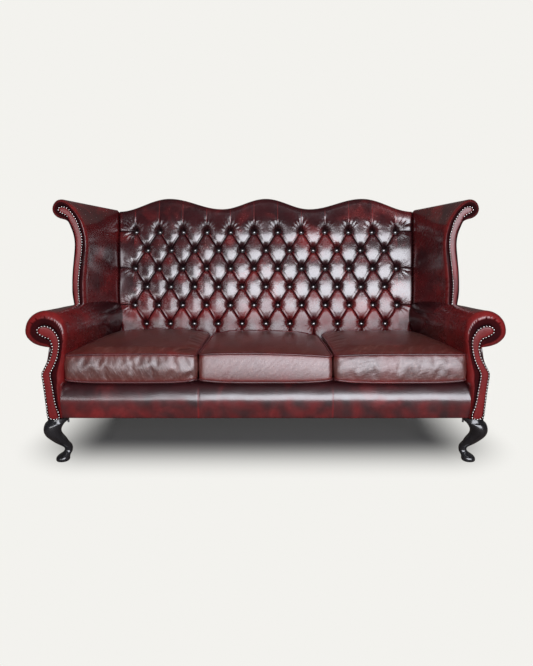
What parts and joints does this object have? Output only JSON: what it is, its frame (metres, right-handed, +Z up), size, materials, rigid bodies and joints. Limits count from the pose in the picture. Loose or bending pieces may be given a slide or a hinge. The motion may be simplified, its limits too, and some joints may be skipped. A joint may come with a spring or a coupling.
{
  "type": "three-seat high-back wing sofa",
  "caption": "High-back wing sofa with rolled arms, a deep-buttoned wavy-topped back, loose lift-off seat cushions and cabriole front legs.",
  "frame": {"origin": "on the floor, under the middle of the sofa's box", "axes": "+X to the right seen from the front, +Y from the front to the back, +Z up"},
  "size_m": [1.93, 0.8312, 1.1304],
  "materials": {
    "oxblood_leather": "glossy oxblood hide, rubbed red on the high places and nearly black in the pleats",
    "facing_leather": "glossy oxblood hide rubbed to a brighter red",
    "cushion_leather": "softer, browner oxblood hide with a low sheen and fine creases",
    "piping_leather": "hide rolled over cord, rubbed reddish",
    "button_leather": "dark polished hide over button moulds",
    "ebonised_wood": "ebonised hardwood with a worn gloss",
    "beech": "planed beech",
    "webbing": "woven jute webbing",
    "platform_cloth": "dark platform cloth over felt",
    "dust_cloth": "black non-woven cloth",
    "bolt_steel": "zinc-plated steel",
    "nail_metal": "domed pewter nails along the facings"
  },
  "bodies": {
    "frame": {"inside_back": "oxblood_leather", "outside_back": "oxblood_leather", "front_border": "oxblood_leather", "left_arm_stuffing": "oxblood_leather", "right_arm_stuffing": "oxblood_leather", "left_outside_arm": "oxblood_leather", "right_outside_arm": "oxblood_leather", "left_wing_stuffing": "oxblood_leather", "right_wing_stuffing": "oxblood_leather", "left_arm_facing": "facing_leather", "right_arm_facing": "facing_leather", "left_wing_facing": "facing_leather", "right_wing_facing": "facing_leather", "back_buttons": "button_leather", "left_front_leg": "ebonised_wood", "right_front_leg": "ebonised_wood", "left_rear_leg": "ebonised_wood", "right_rear_leg": "ebonised_wood", "front_seat_rail": "beech", "rear_seat_rail": "beech", "left_seat_rail": "beech", "right_seat_rail": "beech", "seat_cross_rails": "beech", "corner_blocks": "beech", "left_back_post": "beech", "right_back_post": "beech", "back_top_rail": "beech", "back_tacking_rail": "beech", "back_stiles": "beech", "left_arm_front_board": "beech", "right_arm_front_board": "beech", "left_arm_top_rail": "beech", "right_arm_top_rail": "beech", "left_arm_tacking_rail": "beech", "right_arm_tacking_rail": "beech", "left_wing_post": "beech", "right_wing_post": "beech", "left_wing_top_rail": "beech", "right_wing_top_rail": "beech", "webbing_lengthways": "webbing", "webbing_crossways": "webbing", "back_webbing": "webbing", "seat_deck": "platform_cloth", "dust_cloth": "dust_cloth", "leg_bolts": "bolt_steel"},
    "left_seat": {"left_cushion": "cushion_leather", "left_cushion_piping": "piping_leather"},
    "middle_seat": {"middle_cushion": "cushion_leather", "middle_cushion_piping": "piping_leather"},
    "right_seat": {"right_cushion": "cushion_leather", "right_cushion_piping": "piping_leather"}
  },
  "joints": [
    {"name": "left_seat_lift", "type": "slide", "parent": "frame", "child": "left_seat", "axis": [0, -0.9397, 0.342], "range_m": [0, 0.6]},
    {"name": "middle_seat_lift", "type": "slide", "parent": "frame", "child": "middle_seat", "axis": [0, -0.9397, 0.342], "range_m": [0, 0.6]},
    {"name": "right_seat_lift", "type": "slide", "parent": "frame", "child": "right_seat", "axis": [0, -0.9397, 0.342], "range_m": [0, 0.6]}
  ]
}
